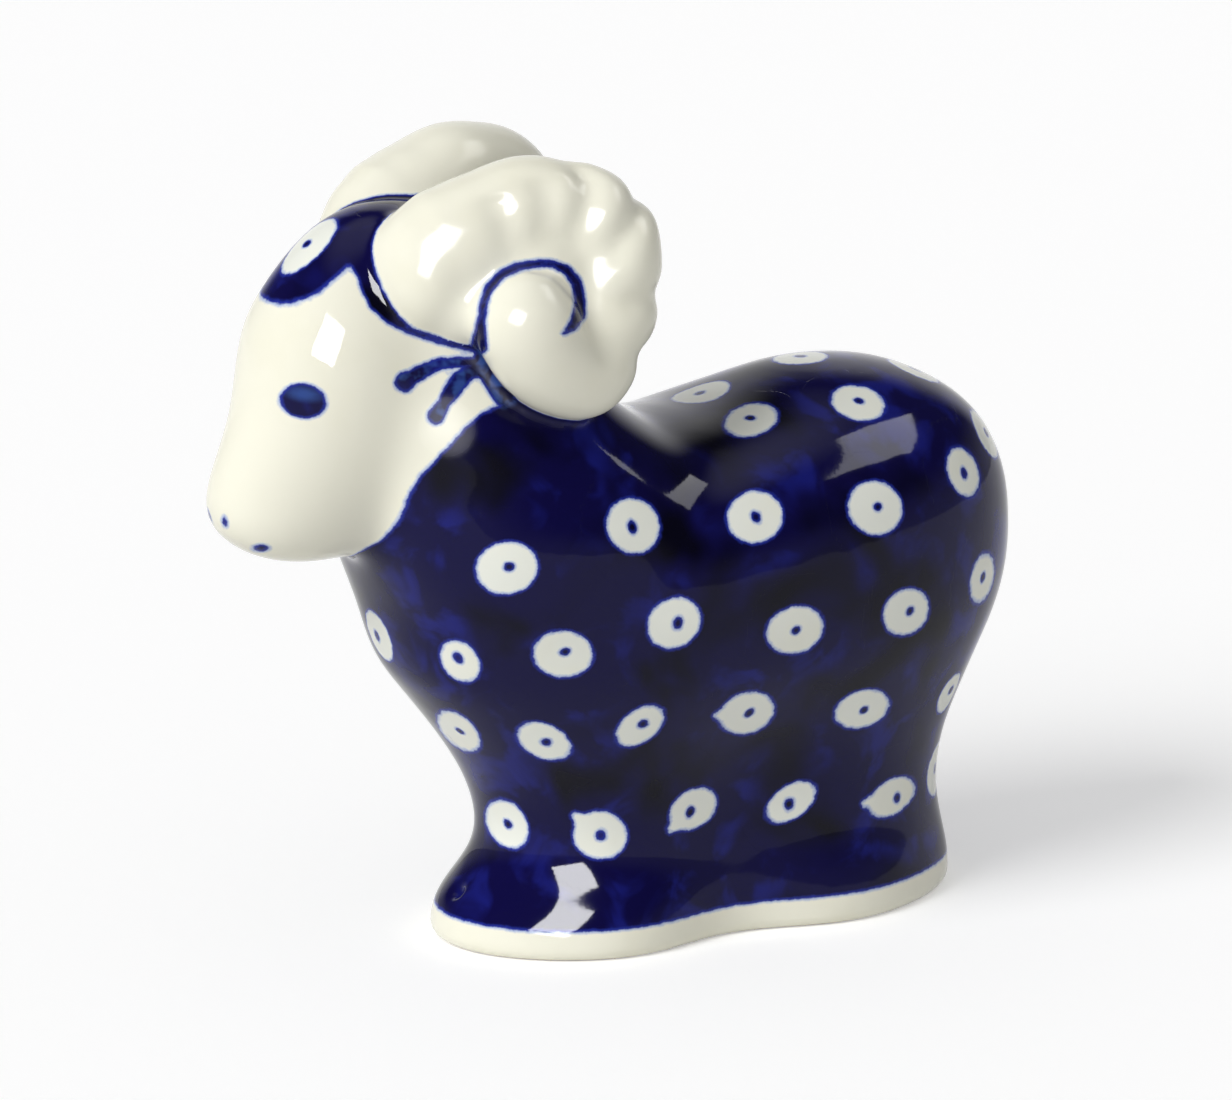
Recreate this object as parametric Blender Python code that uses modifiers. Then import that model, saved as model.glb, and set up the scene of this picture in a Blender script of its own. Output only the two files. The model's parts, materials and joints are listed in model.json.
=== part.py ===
"""Ram figurine: one slip-cast piece of glazed stoneware.

Metres, +Z up. The ram faces -Y and stands on the XY plane, with the origin at the centre of its flat sole.
The casting is a torso that runs down into one block of four merged legs, a neck, a head that looks down
and forward, and two ribbed horns that coil back beside the head.
"""

import math
from typing import NamedTuple

import bmesh
import bpy
from mathutils import Matrix, Vector

MM = 0.001


class Level(NamedTuple):
    """A level oval of the body: its height, its reach along Y, its half width and how far a waist nips it."""

    height: float
    front: float
    back: float
    half_width: float
    waist: float = 0.0
    roundness: float = 2.3


class Slice(NamedTuple):
    """An oval across the head: its place down the face, its edge at the face, its edge at the throat."""

    place: float
    face: float
    throat: float
    half_width: float


class Bead(NamedTuple):
    """A round of the left horn: its centre, its half size in the coil's plane and its half size along X."""

    x: float
    y: float
    z: float
    depth: float
    thickness: float


# Everything below is in millimetres, but for angles, shares, counts and colours

# The whole figurine. The forms below are stretched to these sizes before their skin is softened.
FIGURINE_WIDTH = 53.1
FIGURINE_LENGTH = 120.2
FIGURINE_HEIGHT = 109.2

# Levels of the torso and the leg block, from below the sole to the top of the back
TORSO = (
    Level(height=-6.0, front=-38.4, back=38.8, half_width=22.1, waist=7.0, roundness=2.0),
    Level(height=0.0, front=-39.0, back=39.3, half_width=22.5, waist=7.0, roundness=2.0),
    Level(height=2.8, front=-39.7, back=39.9, half_width=22.6, waist=6.9, roundness=2.0),
    Level(height=6.5, front=-37.2, back=38.9, half_width=20.9, waist=5.8, roundness=2.0),
    Level(height=10.0, front=-33.5, back=37.9, half_width=19.0, waist=4.9, roundness=2.1),
    Level(height=14.0, front=-31.9, back=37.3, half_width=18.2, waist=4.2, roundness=2.1),
    Level(height=20.5, front=-33.4, back=37.8, half_width=18.9, waist=3.2, roundness=2.2),
    Level(height=27.0, front=-37.0, back=40.0, half_width=20.4, waist=2.1),
    Level(height=34.0, front=-42.2, back=43.0, half_width=23.1, waist=0.9),
    Level(height=40.5, front=-46.8, back=45.8, half_width=25.3),
    Level(height=48.0, front=-48.4, back=47.2, half_width=26.4),
    Level(height=55.0, front=-45.0, back=47.0, half_width=25.8),
    Level(height=61.5, front=-34.0, back=45.2, half_width=23.4),
    Level(height=67.0, front=-12.5, back=41.4, half_width=19.2),
    Level(height=71.0, front=3.0, back=35.8, half_width=13.5),
    Level(height=73.8, front=11.0, back=28.6, half_width=7.2),
    Level(height=74.8, front=13.5, back=21.0, half_width=2.5),
)

# The waist between the front and the hind legs, and the share of width lost in each millimetre to the rear
WAIST_PLACE = -2.5
WAIST_SPREAD = 13.0
NARROWING_TO_REAR = 0.001

# Levels of the neck, from inside the chest to the poll
NECK = (
    Level(height=44.0, front=-46.5, back=-2.0, half_width=22.0),
    Level(height=52.0, front=-50.0, back=2.0, half_width=24.0),
    Level(height=58.0, front=-52.0, back=2.0, half_width=24.0),
    Level(height=62.0, front=-53.0, back=1.0, half_width=22.6),
    Level(height=66.0, front=-53.5, back=-2.5, half_width=21.0),
    Level(height=70.0, front=-54.0, back=-9.5, half_width=19.4),
    Level(height=74.0, front=-54.5, back=-15.5, half_width=18.2),
    Level(height=79.0, front=-55.0, back=-19.5, half_width=15.5),
    Level(height=88.0, front=-55.0, back=-20.5, half_width=12.8),
    Level(height=96.0, front=-52.0, back=-22.5, half_width=10.5),
    Level(height=101.5, front=-48.0, back=-29.0, half_width=7.0),
)

# Slices of the head, square to a line that runs from the crown down the face
CROWN = Vector((0.0, -44.0, 98.0))
FACE_PITCH = math.radians(56.3)
HEAD_ROUNDNESS = 2.1
HEAD = (
    Slice(place=-4.0, face=2.5, throat=-6.0, half_width=4.0),
    Slice(place=-1.0, face=7.0, throat=-10.0, half_width=7.2),
    Slice(place=5.0, face=11.4, throat=-14.0, half_width=9.6),
    Slice(place=12.0, face=12.8, throat=-16.0, half_width=11.9),
    Slice(place=19.0, face=13.0, throat=-17.0, half_width=13.4),
    Slice(place=25.0, face=11.2, throat=-18.0, half_width=12.7),
    Slice(place=31.0, face=8.6, throat=-18.5, half_width=11.1),
    Slice(place=37.0, face=7.4, throat=-17.8, half_width=9.8),
    Slice(place=41.7, face=6.4, throat=-13.8, half_width=9.0),
    Slice(place=45.0, face=4.8, throat=-8.4, half_width=7.4),
    Slice(place=46.8, face=1.6, throat=-3.8, half_width=3.6),
)

# Rounds of the left horn, from inside the head over its coil to the tip. The right horn mirrors it.
HORN = (
    Bead(x=5.0, y=-44.3, z=90.6, depth=5.0, thickness=4.0),
    Bead(x=7.9, y=-44.6, z=94.2, depth=8.8, thickness=7.4),
    Bead(x=9.0, y=-41.8, z=95.4, depth=10.4, thickness=8.0),
    Bead(x=10.2, y=-37.0, z=98.6, depth=9.0, thickness=7.9),
    Bead(x=11.4, y=-31.4, z=101.3, depth=7.5, thickness=7.0),
    Bead(x=13.2, y=-26.2, z=100.7, depth=7.1, thickness=6.9),
    Bead(x=14.8, y=-22.0, z=97.2, depth=7.1, thickness=6.9),
    Bead(x=16.2, y=-22.3, z=91.6, depth=7.0, thickness=6.8),
    Bead(x=17.2, y=-24.6, z=85.6, depth=6.8, thickness=6.7),
    Bead(x=18.2, y=-27.8, z=80.8, depth=6.1, thickness=6.4),
    Bead(x=19.0, y=-32.0, z=82.6, depth=6.5, thickness=6.6),
    Bead(x=19.7, y=-35.7, z=86.2, depth=6.7, thickness=6.7),
    Bead(x=20.0, y=-36.7, z=89.2, depth=7.4, thickness=6.5),
    Bead(x=19.8, y=-36.3, z=92.4, depth=5.8, thickness=5.2),
    Bead(x=19.4, y=-35.6, z=95.0, depth=2.6, thickness=2.8),
)
RIGHT_HORN_SHIFT = Vector((0.0, 1.2, 0.8))

# Soft valleys between the ribs of a horn, by how far along it they lie
HORN_VALLEYS = (16.9, 21.2, 25.4, 31.3, 37.8, 43.3)
HORN_VALLEY_DEPTH = 0.8
HORN_VALLEY_HALF_WIDTH = 1.6

# The horn's thick root, as rounds given by their centre and half sizes
HORN_ROOT = (
    (Vector((9.4, -45.3, 93.8)), Vector((7.2, 7.0, 7.8))),
    (Vector((11.5, -41.5, 91.0)), Vector((6.3, 6.0, 6.4))),
)

# The solid middle that each horn coils round, a flattened ball
HORN_CORE_CENTRE = Vector((10.0, -31.5, 90.5))
HORN_CORE_RADIUS = 12.5
HORN_CORE_HALF_THICKNESS = 11.0

# How finely the forms are laid out, welded into one skin and thinned
RING_POINTS = 64
RINGS_PER_ROUND = 8
SKIN_CELL = 1.1
BODY_SOFTENING = 60
HORN_SOFTENING = 6
KEPT_SHARE_OF_FACES = 0.14

GLAZE_COLOUR = (0.012, 0.010, 0.090, 1.0)
GLAZE_ROUGHNESS = 0.08


def clear_scene():
    for obj in list(bpy.data.objects):
        bpy.data.objects.remove(obj)


def new_collection(name):
    collection = bpy.data.collections.new(name)
    bpy.context.scene.collection.children.link(collection)
    return collection


def distances(rows, position):
    """How far along its own path each row lies."""
    places = [0.0]
    for before, after in zip(rows, rows[1:]):
        places.append(places[-1] + (position(after) - position(before)).length)
    return places


def smooth_between(places, values):
    """A curve through the values that doesn't swing past them."""
    slopes = [(b - a) / (q - p) for a, b, p, q in zip(values, values[1:], places, places[1:])]
    tangents = [slopes[0]]
    for before, after in zip(slopes, slopes[1:]):
        turns_back = before * after <= 0
        tangents.append(0.0 if turns_back else 2 * before * after / (before + after))
    tangents.append(slopes[-1])

    def value_at(place):
        i = max(k for k in range(len(places) - 1) if k == 0 or places[k] <= place)
        span = places[i + 1] - places[i]
        t = (place - places[i]) / span
        start = values[i] * (1 + 2 * t) * (1 - t) ** 2 + tangents[i] * span * t * (1 - t) ** 2
        end = values[i + 1] * t * t * (3 - 2 * t) + tangents[i + 1] * span * t * t * (t - 1)
        return start + end

    return value_at


def refine(rows, position):
    """More rows of the same kind, along smooth curves through the given ones."""
    places = distances(rows, position)
    curves = [smooth_between(places, column) for column in zip(*rows)]
    steps = RINGS_PER_ROUND * (len(rows) - 1)
    return [type(rows[0])(*(curve(places[-1] * k / steps) for curve in curves)) for k in range(steps + 1)]


def ring(centre, across, along, roundness=2.0):
    """Points round an oval. The two half axes are vectors, and a roundness of 2 makes an ellipse."""
    points = []
    for step in range(RING_POINTS):
        angle = 2 * math.pi * step / RING_POINTS
        u = math.copysign(abs(math.cos(angle)) ** (2 / roundness), math.cos(angle))
        v = math.copysign(abs(math.sin(angle)) ** (2 / roundness), math.sin(angle))
        points.append(centre + across * u + along * v)
    return points


def add_loft(mesh, rings):
    """Adds a closed skin over rings of equally many points."""
    rows = [[mesh.verts.new(point) for point in points] for points in rings]
    faces = [mesh.faces.new(rows[0]), mesh.faces.new(rows[-1])]
    for lower, upper in zip(rows, rows[1:]):
        for i in range(RING_POINTS):
            j = (i + 1) % RING_POINTS
            faces.append(mesh.faces.new((lower[i], lower[j], upper[j], upper[i])))
    bmesh.ops.recalc_face_normals(mesh, faces=faces)


def level_rings(levels):
    rings = []
    for level in refine(levels, lambda row: Vector((row.front, row.back, row.height))):
        centre = Vector((0.0, (level.front + level.back) / 2, level.height))
        along = Vector((0.0, (level.back - level.front) / 2, 0.0))
        points = ring(centre, Vector((level.half_width, 0.0, 0.0)), along, level.roundness)
        for point in points:
            nip = level.waist * math.exp(-(((point.y - WAIST_PLACE) / WAIST_SPREAD) ** 2))
            taper = NARROWING_TO_REAR * point.y
            point.x *= 1 - nip / level.half_width - taper
        rings.append(points)
    return rings


def head_rings():
    down = Vector((0.0, -math.cos(FACE_PITCH), -math.sin(FACE_PITCH)))
    outward = Vector((0.0, -math.sin(FACE_PITCH), math.cos(FACE_PITCH)))
    rings = []
    for cut in refine(HEAD, lambda row: Vector((row.place, row.face, row.throat))):
        centre = CROWN + down * cut.place + outward * (cut.face + cut.throat) / 2
        across = Vector((cut.half_width, 0.0, 0.0))
        rings.append(ring(centre, across, outward * (cut.face - cut.throat) / 2, HEAD_ROUNDNESS))
    return rings


def horn_place(place, side):
    """A place on the left horn, or the same place on the right horn."""
    if side > 0:
        return place
    return Vector((-place.x, place.y, place.z)) + RIGHT_HORN_SHIFT


def valley_depth(along):
    """How deep the valleys between the ribs are at a place along the horn."""
    offsets = [(along - valley) / HORN_VALLEY_HALF_WIDTH for valley in HORN_VALLEYS]
    return HORN_VALLEY_DEPTH * sum(math.exp(-(offset**2)) for offset in offsets)


def horn_rings(side):
    beads = refine(HORN, lambda row: Vector((row.x, row.y, row.z)))
    centres = [horn_place(Vector((bead.x, bead.y, bead.z)), side) for bead in beads]
    along = distances(centres, lambda centre: centre)
    rings = []
    for i, bead in enumerate(beads):
        ahead = centres[min(i + 1, len(beads) - 1)] - centres[max(i - 1, 0)]
        level = ahead.cross(Vector((1.0, 0.0, 0.0))).normalized()
        outward = level.cross(ahead).normalized()
        valley = valley_depth(along[i])
        rings.append(ring(centres[i], level * (bead.depth - valley), outward * (bead.thickness - valley)))
    return rings


def mesh_object(name, mesh, collection):
    data = bpy.data.meshes.new(name)
    mesh.to_mesh(data)
    mesh.free()
    obj = bpy.data.objects.new(name, data)
    collection.objects.link(obj)
    return obj


def hide_as_cutter(obj):
    obj.hide_render = True
    obj.display_type = "WIRE"


def weld_skin(obj, softening):
    """Turns overlapping closed shapes into one skin and rounds the valleys between them."""
    skin = obj.modifiers.new("one skin", "REMESH")
    skin.mode = "VOXEL"
    skin.voxel_size = SKIN_CELL * MM
    soften = obj.modifiers.new("soften", "SMOOTH")
    soften.factor = 0.5
    soften.iterations = round(softening)


def body_forms():
    mesh = bmesh.new()
    add_loft(mesh, level_rings(TORSO))
    add_loft(mesh, level_rings(NECK))
    add_loft(mesh, head_rings())
    return mesh


def horn_forms(side):
    mesh = bmesh.new()
    add_loft(mesh, horn_rings(side))
    core = Vector((HORN_CORE_HALF_THICKNESS, HORN_CORE_RADIUS, HORN_CORE_RADIUS))
    for centre, half_sizes in ((HORN_CORE_CENTRE, core), *HORN_ROOT):
        place = Matrix.Translation(horn_place(centre, side)) @ Matrix.Diagonal(half_sizes).to_4x4()
        around, down = RING_POINTS, RING_POINTS // 2
        bmesh.ops.create_uvsphere(mesh, u_segments=around, v_segments=down, radius=1.0, matrix=place)
    return mesh


def stretch_to_size(meshes):
    """Stretches the forms together to the figurine's width, length and height, and into metres."""
    points = [vertex.co for mesh in meshes for vertex in mesh.verts]
    width = max(point.x for point in points) - min(point.x for point in points)
    length = max(point.y for point in points) - min(point.y for point in points)
    height = max(point.z for point in points)
    stretch = Vector((FIGURINE_WIDTH / width, FIGURINE_LENGTH / length, FIGURINE_HEIGHT / height))
    for mesh in meshes:
        mesh.transform(Matrix.Diagonal(stretch * MM).to_4x4())


def join(obj, other):
    union = obj.modifiers.new("join " + other.name, "BOOLEAN")
    union.operation = "UNION"
    union.object = other


def level_sole(obj, collection):
    mesh = bmesh.new()
    size = 2 * FIGURINE_LENGTH * MM
    bmesh.ops.create_cube(mesh, size=size, matrix=Matrix.Translation((0.0, 0.0, -size / 2)))
    floor = mesh_object("below_sole", mesh, collection)
    hide_as_cutter(floor)
    cut = obj.modifiers.new("flat sole", "BOOLEAN")
    cut.operation = "DIFFERENCE"
    cut.object = floor


def stoneware():
    material = bpy.data.materials.new("cobalt_and_cream_glaze")
    material.use_nodes = True
    shader = material.node_tree.nodes["Principled BSDF"]
    shader.inputs["Base Color"].default_value = GLAZE_COLOUR
    shader.inputs["Roughness"].default_value = GLAZE_ROUGHNESS
    return material


def main():
    clear_scene()
    figurine = new_collection("ram_figurine")
    cutters = new_collection("cutters")
    forms, left, right = body_forms(), horn_forms(1), horn_forms(-1)
    stretch_to_size((forms, left, right))
    body = mesh_object("ram_figurine", forms, figurine)
    weld_skin(body, BODY_SOFTENING)
    for name, mesh in (("left_horn", left), ("right_horn", right)):
        horn = mesh_object(name, mesh, cutters)
        weld_skin(horn, 0)
        hide_as_cutter(horn)
        join(body, horn)
    weld_skin(body, HORN_SOFTENING)
    thin = body.modifiers.new("thin", "DECIMATE")
    thin.ratio = KEPT_SHARE_OF_FACES
    level_sole(body, cutters)
    body.data.materials.append(stoneware())
    body.data.shade_smooth()


main()
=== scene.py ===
"""A glazed stoneware ram figurine: cream head and horns, and a cobalt ground with rows of eye dots.

The forms are worked out in millimetres: the ram faces -Y, its left side is +X and its sole lies on z = 0.
The painting is kept on the mesh as distances in millimetres from painted edges. The glaze turns them into
colour.
"""

import json
import math
from typing import NamedTuple

import bmesh
import bpy
import numpy as np
from mathutils import Matrix, Quaternion, Vector
from mathutils.bvhtree import BVHTree

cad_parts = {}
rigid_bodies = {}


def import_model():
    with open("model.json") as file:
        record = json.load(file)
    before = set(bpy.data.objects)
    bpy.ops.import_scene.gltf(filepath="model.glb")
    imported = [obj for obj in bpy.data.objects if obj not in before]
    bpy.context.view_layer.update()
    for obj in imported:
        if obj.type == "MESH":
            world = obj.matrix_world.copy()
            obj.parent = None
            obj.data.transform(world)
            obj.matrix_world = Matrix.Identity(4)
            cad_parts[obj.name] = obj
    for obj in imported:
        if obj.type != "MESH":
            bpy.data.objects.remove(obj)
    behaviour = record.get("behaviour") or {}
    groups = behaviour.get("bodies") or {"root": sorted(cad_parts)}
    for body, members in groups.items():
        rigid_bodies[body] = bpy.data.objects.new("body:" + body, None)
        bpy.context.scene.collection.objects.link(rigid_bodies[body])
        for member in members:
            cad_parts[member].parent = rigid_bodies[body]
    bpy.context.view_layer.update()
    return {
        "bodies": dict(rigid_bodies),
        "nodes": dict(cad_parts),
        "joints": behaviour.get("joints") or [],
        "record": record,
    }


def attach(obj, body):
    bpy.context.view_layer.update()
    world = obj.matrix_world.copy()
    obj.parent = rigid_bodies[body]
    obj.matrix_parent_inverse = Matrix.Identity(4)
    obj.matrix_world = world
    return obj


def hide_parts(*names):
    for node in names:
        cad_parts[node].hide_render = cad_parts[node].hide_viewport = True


MM = 0.001


class Level(NamedTuple):
    """A level oval of the body: its height, its reach along Y, its half width and how far a waist nips it."""

    height: float
    front: float
    back: float
    half_width: float
    waist: float = 0.0
    roundness: float = 2.3


class Slice(NamedTuple):
    """An oval across the head: its place down the face, its edge at the face, its edge at the throat."""

    place: float
    face: float
    throat: float
    half_width: float


class Dot(NamedTuple):
    """A white eye dot as the frame shows it.

    Its middle, half sizes, blue pupil and drawn-out corner are in pixels, and its lean is in degrees.
    """

    x: float
    y: float
    long: float
    short: float
    lean: float
    pupil: tuple
    corner: tuple = None


class Valley(NamedTuple):
    """A valley between two ribs of a horn: its ends in the frame, and its other sizes in millimetres."""

    outer: tuple
    inner: tuple
    depth: float
    half_width: float
    run_out: float


class Bead(NamedTuple):
    """A round of the left horn: its centre, its half size in the coil's plane and its half size along X."""

    x: float
    y: float
    z: float
    depth: float
    thickness: float


TORSO = (
    Level(height=-6.0, front=-38.4, back=38.8, half_width=22.1, waist=7.0, roundness=2.0),
    Level(height=0.0, front=-39.0, back=39.3, half_width=22.5, waist=7.0, roundness=2.0),
    Level(height=2.8, front=-39.7, back=39.9, half_width=22.6, waist=6.9, roundness=2.0),
    Level(height=6.5, front=-37.2, back=38.9, half_width=21.6, waist=5.8, roundness=2.0),
    Level(height=10.0, front=-33.5, back=37.9, half_width=20.0, waist=4.9, roundness=2.1),
    Level(height=14.0, front=-31.9, back=37.3, half_width=18.6, waist=4.2, roundness=2.1),
    Level(height=20.5, front=-33.4, back=37.8, half_width=18.9, waist=3.2, roundness=2.2),
    Level(height=27.0, front=-37.0, back=40.0, half_width=20.4, waist=2.1),
    Level(height=34.0, front=-42.2, back=43.0, half_width=23.1, waist=0.9),
    Level(height=40.5, front=-46.8, back=45.8, half_width=25.3),
    Level(height=48.0, front=-48.4, back=47.2, half_width=26.4),
    Level(height=55.0, front=-45.0, back=47.0, half_width=25.8),
    Level(height=61.5, front=-34.0, back=45.2, half_width=23.4),
    Level(height=67.0, front=-12.5, back=41.4, half_width=19.2),
    Level(height=71.0, front=3.0, back=35.8, half_width=13.5),
    Level(height=73.8, front=11.0, back=28.6, half_width=7.2),
    Level(height=74.8, front=13.5, back=21.0, half_width=2.5),
)
WAIST_PLACE = -2.5
WAIST_SPREAD = 13.0
NARROWING_TO_REAR = 0.001

NECK = (
    Level(height=44.0, front=-46.5, back=-2.0, half_width=22.0),
    Level(height=52.0, front=-50.0, back=2.0, half_width=24.0),
    Level(height=58.0, front=-52.0, back=2.0, half_width=24.0),
    Level(height=62.0, front=-53.0, back=1.0, half_width=22.6),
    Level(height=66.0, front=-53.5, back=-2.5, half_width=21.0),
    Level(height=70.0, front=-54.0, back=-9.5, half_width=19.4),
    Level(height=74.0, front=-54.5, back=-15.5, half_width=18.2),
    Level(height=79.0, front=-55.0, back=-19.5, half_width=15.5),
    Level(height=88.0, front=-55.0, back=-20.5, half_width=12.8),
    Level(height=96.0, front=-52.0, back=-22.5, half_width=10.5),
    Level(height=101.5, front=-48.0, back=-29.0, half_width=7.0),
)

CROWN = Vector((0.0, -44.0, 98.0))
FACE_PITCH = math.radians(56.3)
HEAD_ROUNDNESS = 2.1
HEAD = (
    Slice(place=-4.0, face=2.5, throat=-6.0, half_width=4.0),
    Slice(place=-1.0, face=7.0, throat=-10.0, half_width=7.2),
    Slice(place=5.0, face=11.4, throat=-14.0, half_width=9.6),
    Slice(place=12.0, face=12.8, throat=-16.0, half_width=11.9),
    Slice(place=19.0, face=13.0, throat=-17.0, half_width=13.4),
    Slice(place=25.0, face=11.2, throat=-18.0, half_width=12.7),
    Slice(place=31.0, face=8.6, throat=-18.5, half_width=11.1),
    Slice(place=37.0, face=7.4, throat=-17.8, half_width=9.8),
    Slice(place=41.7, face=6.4, throat=-13.8, half_width=9.0),
    Slice(place=45.0, face=4.8, throat=-8.4, half_width=7.4),
    Slice(place=46.8, face=1.6, throat=-3.8, half_width=3.6),
)

HORN = (
    Bead(x=5.0, y=-44.3, z=90.6, depth=5.0, thickness=4.0),
    Bead(x=7.9, y=-44.6, z=94.2, depth=8.8, thickness=7.4),
    Bead(x=9.0, y=-41.8, z=95.4, depth=10.4, thickness=8.0),
    Bead(x=10.2, y=-37.0, z=98.6, depth=9.0, thickness=7.9),
    Bead(x=11.4, y=-31.4, z=101.3, depth=7.5, thickness=7.0),
    Bead(x=13.2, y=-26.2, z=100.7, depth=7.1, thickness=6.9),
    Bead(x=14.8, y=-22.0, z=97.2, depth=7.1, thickness=6.9),
    Bead(x=16.2, y=-22.3, z=91.6, depth=7.0, thickness=6.8),
    Bead(x=17.2, y=-24.6, z=85.6, depth=6.8, thickness=6.7),
    Bead(x=18.2, y=-27.8, z=80.8, depth=6.1, thickness=6.4),
    Bead(x=19.0, y=-32.0, z=82.6, depth=6.5, thickness=6.6),
    Bead(x=19.7, y=-35.7, z=86.2, depth=6.7, thickness=6.7),
    Bead(x=20.0, y=-36.7, z=89.2, depth=7.4, thickness=6.5),
    Bead(x=19.8, y=-36.3, z=92.4, depth=5.8, thickness=5.2),
    Bead(x=19.4, y=-35.6, z=95.0, depth=2.6, thickness=2.8),
)
RIGHT_HORN_SHIFT = Vector((0.0, 1.2, 0.8))

# The horn's thick root, as rounds given by their centre and half sizes
HORN_ROOT = (
    (Vector((9.4, -45.3, 93.8)), Vector((7.2, 7.0, 7.8))),
    (Vector((11.5, -41.5, 91.0)), Vector((6.3, 6.0, 6.4))),
)
# Fills the hollow between the neck and the back
WITHERS_CENTRE = Vector((0.0, -6.0, 61.0))
WITHERS_HALF_SIZES = Vector((19.0, 20.0, 9.3))
HORN_CORE_CENTRE = Vector((10.0, -31.5, 90.5))
HORN_CORE_RADIUS = 12.5
HORN_CORE_HALF_THICKNESS = 11.0

RING_POINTS = 64
RINGS_PER_ROUND = 10
SKIN_CELL = 0.62
BODY_SOFTENING = 188
HORN_SOFTENING = 20
HORNS_ALONE_SOFTENING = 2
SOLE_EDGE_RADIUS = 1.7
SOLE_EDGE_SHARE = 0.8

# The camera, and places in the photograph's 1232 x 1100 frame
FRAME_WIDTH = 1232
FRAME_HEIGHT = 1100
SENSOR_WIDTH = 36.0
FOCAL_PIXELS = 6666.7
CAMERA_TARGET = Vector((-4.4, -9.5, 50.0))
CAMERA_AZIMUTH = math.radians(60.0)
CAMERA_ELEVATION = math.radians(14.0)
CAMERA_DISTANCE = 900.0

# A place just off the outline is moved to the ram in steps towards its middle
MIDDLE_OF_RAM = (620, 480)
OUTLINE_STEPS = 12
OUTLINE_STEP_SHARE = 0.01

# Eye dots as the frame shows them. A corner is where the brush drew the rim of the dot out.
DOTS = (
    Dot(858, 403, long=27, short=17, lean=-13, pupil=(859, 401)),
    Dot(751, 420, long=27, short=16, lean=13, pupil=(750, 418)),
    Dot(701, 393, long=28, short=11, lean=14, pupil=(700, 393)),
    Dot(914, 369, long=26, short=9, lean=-30, pupil=(915, 369)),
    Dot(963, 472, long=25, short=15, lean=-72, pupil=(964, 473)),
    Dot(875, 508, long=28, short=26, lean=-43, pupil=(878, 507)),
    Dot(755, 517, long=28, short=26, lean=17, pupil=(756, 517)),
    Dot(633, 526, long=28, short=26, lean=-58, pupil=(632, 527)),
    Dot(507, 568, long=31, short=26, lean=10, pupil=(509, 567)),
    Dot(982, 578, long=25, short=11, lean=78, pupil=(983, 577)),
    Dot(906, 612, long=25, short=21, lean=48, pupil=(910, 611)),
    Dot(795, 630, long=29, short=23, lean=21, pupil=(796, 630)),
    Dot(674, 623, long=28, short=24, lean=34, pupil=(678, 623), corner=(680, 600)),
    Dot(563, 654, long=30, short=23, lean=-3, pupil=(565, 652)),
    Dot(460, 661, long=23, short=17, lean=-48, pupil=(458, 658), corner=(449, 645)),
    Dot(378, 636, long=25, short=11, lean=-65, pupil=(377, 636)),
    Dot(949, 693, long=21, short=12, lean=58, pupil=(951, 690)),
    Dot(862, 709, long=28, short=18, lean=19, pupil=(864, 710)),
    Dot(747, 713, long=28, short=20, lean=20, pupil=(749, 713), corner=(717, 716)),
    Dot(640, 726, long=27, short=16, lean=35, pupil=(643, 724)),
    Dot(544, 741, long=28, short=17, lean=-22, pupil=(546, 742)),
    Dot(459, 731, long=26, short=14, lean=-42, pupil=(460, 731)),
    Dot(892, 797, long=26, short=16, lean=37, pupil=(897, 798), corner=(865, 804)),
    Dot(791, 802, long=28, short=16, lean=35, pupil=(789, 804)),
    Dot(693, 809, long=26, short=18, lean=36, pupil=(690, 812), corner=(670, 830)),
    Dot(507, 824, long=26, short=19, lean=-57, pupil=(508, 824)),
    Dot(600, 835, long=27, short=24, lean=-10, pupil=(601, 835), corner=(575, 816)),
)
# Dots whose larger part lies round the outline
OUTLINE_DOTS = ((800, 356), (990, 432), (935, 768))
ROUND_DOT_HALF_SIZES = (4.0, 3.7)
PUPIL_RADIUS = 0.72
CORNER_HALF_WIDTH = 3.5
# How wide a drawn-out dot is at its middle, as a share of its short half size
DRAWN_OUT_SHARE = 0.95
# A dot on skin that faces the camera less than this is round on the skin, and a little larger than drawn
GRAZING = 0.36
ROUNDED_DOT_SHARE = 1.07
# How near in mm a place must be to a pupil to be measured from it, and what all other places hold
PUPIL_REACH = 5.0
NO_PUPIL = 9.0
DOT_PITCH = 14.6
DOT_CLEARANCE = 6.0
DOT_NUDGE = 0.8
# Dots that the frame doesn't show lie between these heights in mm, each on one of every so many points
LOWEST_HIDDEN_DOT = 14
HIGHEST_HIDDEN_DOT = 92
CANDIDATE_STEP = 7
MIRRORED_DOT_PITCH = 12.0
# Where the random draws for the dots start
SEED = 12
FOREHEAD_DOT = (312, 246)
FOREHEAD_DOT_HALF_SIZES = (4.9, 3.4)

# How far in mm a drawn line or oval may lie from the skin under its middle
SKIN_REACH = 4.5
OVAL_REACH = 8.0

# Painted lines: places in the frame, each with its half width in mm
HORN_BASE_LINE = (
    (366, 236, 5.0),
    (363, 262, 8.0),
    (368, 284, 9.0),
    (377, 302, 9.5),
    (392, 319, 6.5),
    (411, 331, 4.0),
    (440, 341, 3.5),
    (468, 347, 4.0),
    (480, 348, 7.0),
)
SPIRAL_LINE = (
    (479, 346, 9.0),
    (481, 322, 4.6),
    (484, 303, 4.4),
    (489, 288, 4.8),
    (501, 275, 4.8),
    (517, 267, 4.8),
    (533, 264, 4.0),
    (550, 263, 4.0),
    (566, 269, 4.8),
    (577, 283, 5.4),
    (580, 300, 5.8),
    (579, 315, 6.6),
    (573, 326, 5.0),
    (564, 333, 2.0),
)
UPPER_EAR_STROKE = (
    (497, 368, 8.0),
    (475, 363, 6.0),
    (458, 362, 5.5),
    (440, 364, 6.0),
    (425, 370, 7.0),
    (413, 377, 8.0),
    (405, 382, 10.5),
)
LOWER_EAR_STROKE = (
    (490, 370, 8.0),
    (470, 372, 6.5),
    (460, 380, 9.5),
    (452, 391, 9.0),
    (444, 403, 6.5),
    (436, 416, 9.0),
)
NECK_STROKE = (
    (484, 360, 12.0),
    (494, 378, 13.0),
    (505, 396, 12.0),
)

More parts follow.
